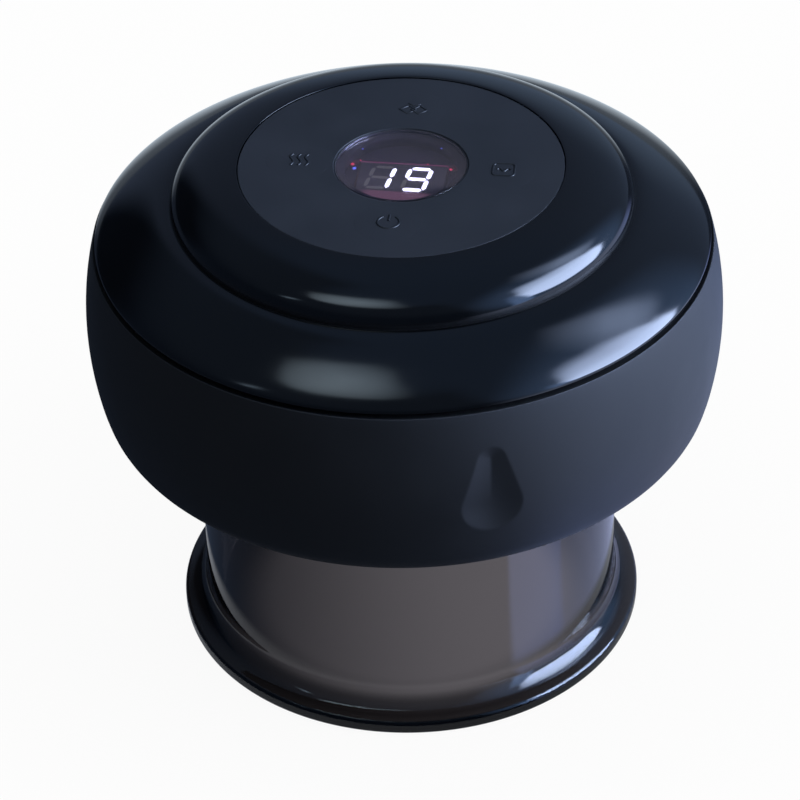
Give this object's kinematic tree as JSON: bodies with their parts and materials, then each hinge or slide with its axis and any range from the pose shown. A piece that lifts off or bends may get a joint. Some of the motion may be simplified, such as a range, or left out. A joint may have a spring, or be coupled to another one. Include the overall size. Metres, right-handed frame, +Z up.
{
  "type": "electric cupping massager",
  "caption": "Round hand-held electric suction cup: housing with pump, keypad and digit display over a smoky transparent cup that pulls off.",
  "frame": {"origin": "middle of the cup's rim, on the plane it stands on", "axes": "+Z up along the turning axis of housing and cup, -Y to the front, the side of the power key, +X to the mode key"},
  "size_m": [0.09, 0.09, 0.0751],
  "materials": {
    "cup_smoke": "clear smoky grey-brown, polished",
    "housing_black": "fine satin, black with a blue cast",
    "cover_black": "high gloss black",
    "overlay_slate": "soft matt film, dark slate",
    "lens_tint": "clear, dark violet tint",
    "display_white": "plain moulded",
    "lamp_red": "clear lamp body",
    "grey_plastic": "plain moulded",
    "steel": "plain steel",
    "black_rubber": "soft moulded",
    "board_green": "solder mask",
    "ring_frosted": "frosted, translucent",
    "motor_can": "plated can, satin",
    "brass": "plain",
    "pump_black": "plain moulded",
    "silicone_clear": "milky translucent",
    "cell_wrap": "shrink sleeve"
  },
  "bodies": {
    "main_unit": {"housing": "housing_black", "top_cover": "cover_black", "keypad_overlay": "overlay_slate", "display_lens": "lens_tint", "display_module": "display_white", "indicator_lamp_left": "lamp_red", "indicator_lamp_right": "lamp_red", "switch_mode": "steel", "switch_suction": "steel", "switch_heat": "steel", "switch_power": "steel", "control_board": "board_green", "board_screw_1": "steel", "board_screw_2": "steel", "suction_plate": "housing_black", "cup_seal": "black_rubber", "port_filter": "steel", "heater_plate": "steel", "light_ring": "ring_frosted", "lamp_board": "display_white", "red_lamp_1": "lamp_red", "red_lamp_2": "lamp_red", "red_lamp_3": "lamp_red", "red_lamp_4": "lamp_red", "plate_screw_1": "steel", "plate_screw_2": "steel", "plate_screw_3": "steel", "chassis": "grey_plastic", "pump_motor": "motor_can", "crank_chamber": "pump_black", "pump_diaphragm": "black_rubber", "pump_head": "pump_black", "pump_screw_1": "steel", "pump_screw_2": "steel", "pump_strap": "steel", "strap_screw": "steel", "valve_seat_block": "display_white", "valve_coil_frame": "brass", "valve_spring": "steel", "tee_connector": "display_white", "port_sleeve": "silicone_clear", "valve_tube": "silicone_clear", "pump_tube": "silicone_clear", "battery_cell": "cell_wrap", "charging_board": "board_green", "charging_socket": "steel"},
    "suction_cup": {"cup": "cup_smoke"},
    "mode_key": {"key_mode": "grey_plastic", "switch_button_mode": "black_rubber"},
    "suction_key": {"key_suction": "grey_plastic", "switch_button_suction": "black_rubber"},
    "heat_key": {"key_heat": "grey_plastic", "switch_button_heat": "black_rubber"},
    "power_key": {"key_power": "grey_plastic", "switch_button_power": "black_rubber"},
    "pump_rotor": {"motor_shaft": "steel", "pump_crank": "brass"},
    "pump_wobbler": {"wobble_plate": "display_white"},
    "release_plug": {"valve_plug": "steel"}
  },
  "joints": [
    {"name": "cup_pull_off", "type": "slide", "parent": "main_unit", "child": "suction_cup", "axis": [0, 0, -1], "range_m": [0, 0.03]},
    {"name": "mode_press", "type": "slide", "parent": "main_unit", "child": "mode_key", "axis": [0, 0, -1], "range_m": [0, 0.0004], "stiffness_N_per_m": 1500},
    {"name": "suction_press", "type": "slide", "parent": "main_unit", "child": "suction_key", "axis": [0, 0, -1], "range_m": [0, 0.0004], "stiffness_N_per_m": 1500},
    {"name": "heat_press", "type": "slide", "parent": "main_unit", "child": "heat_key", "axis": [0, 0, -1], "range_m": [0, 0.0004], "stiffness_N_per_m": 1500},
    {"name": "power_press", "type": "slide", "parent": "main_unit", "child": "power_key", "axis": [0, 0, -1], "range_m": [0, 0.0004], "stiffness_N_per_m": 1500},
    {"name": "motor_spin", "type": "hinge", "parent": "main_unit", "child": "pump_rotor", "pos_m": [0, -0.017, 0.0553], "axis": [1, 0, 0], "continuous": true},
    {"name": "wobble_tilt", "type": "hinge", "parent": "main_unit", "child": "pump_wobbler", "pos_m": [0.0125, -0.017, 0.0553], "axis": [0, 1, 0], "range_deg": [-4, 4], "stiffness_Nm_per_rad": 0.002},
    {"name": "release_lift", "type": "slide", "parent": "main_unit", "child": "release_plug", "axis": [0, 0, 1], "range_m": [0, 0.0015], "stiffness_N_per_m": 150, "springref_m": -0.0006, "deforming": ["valve_spring"]}
  ]
}
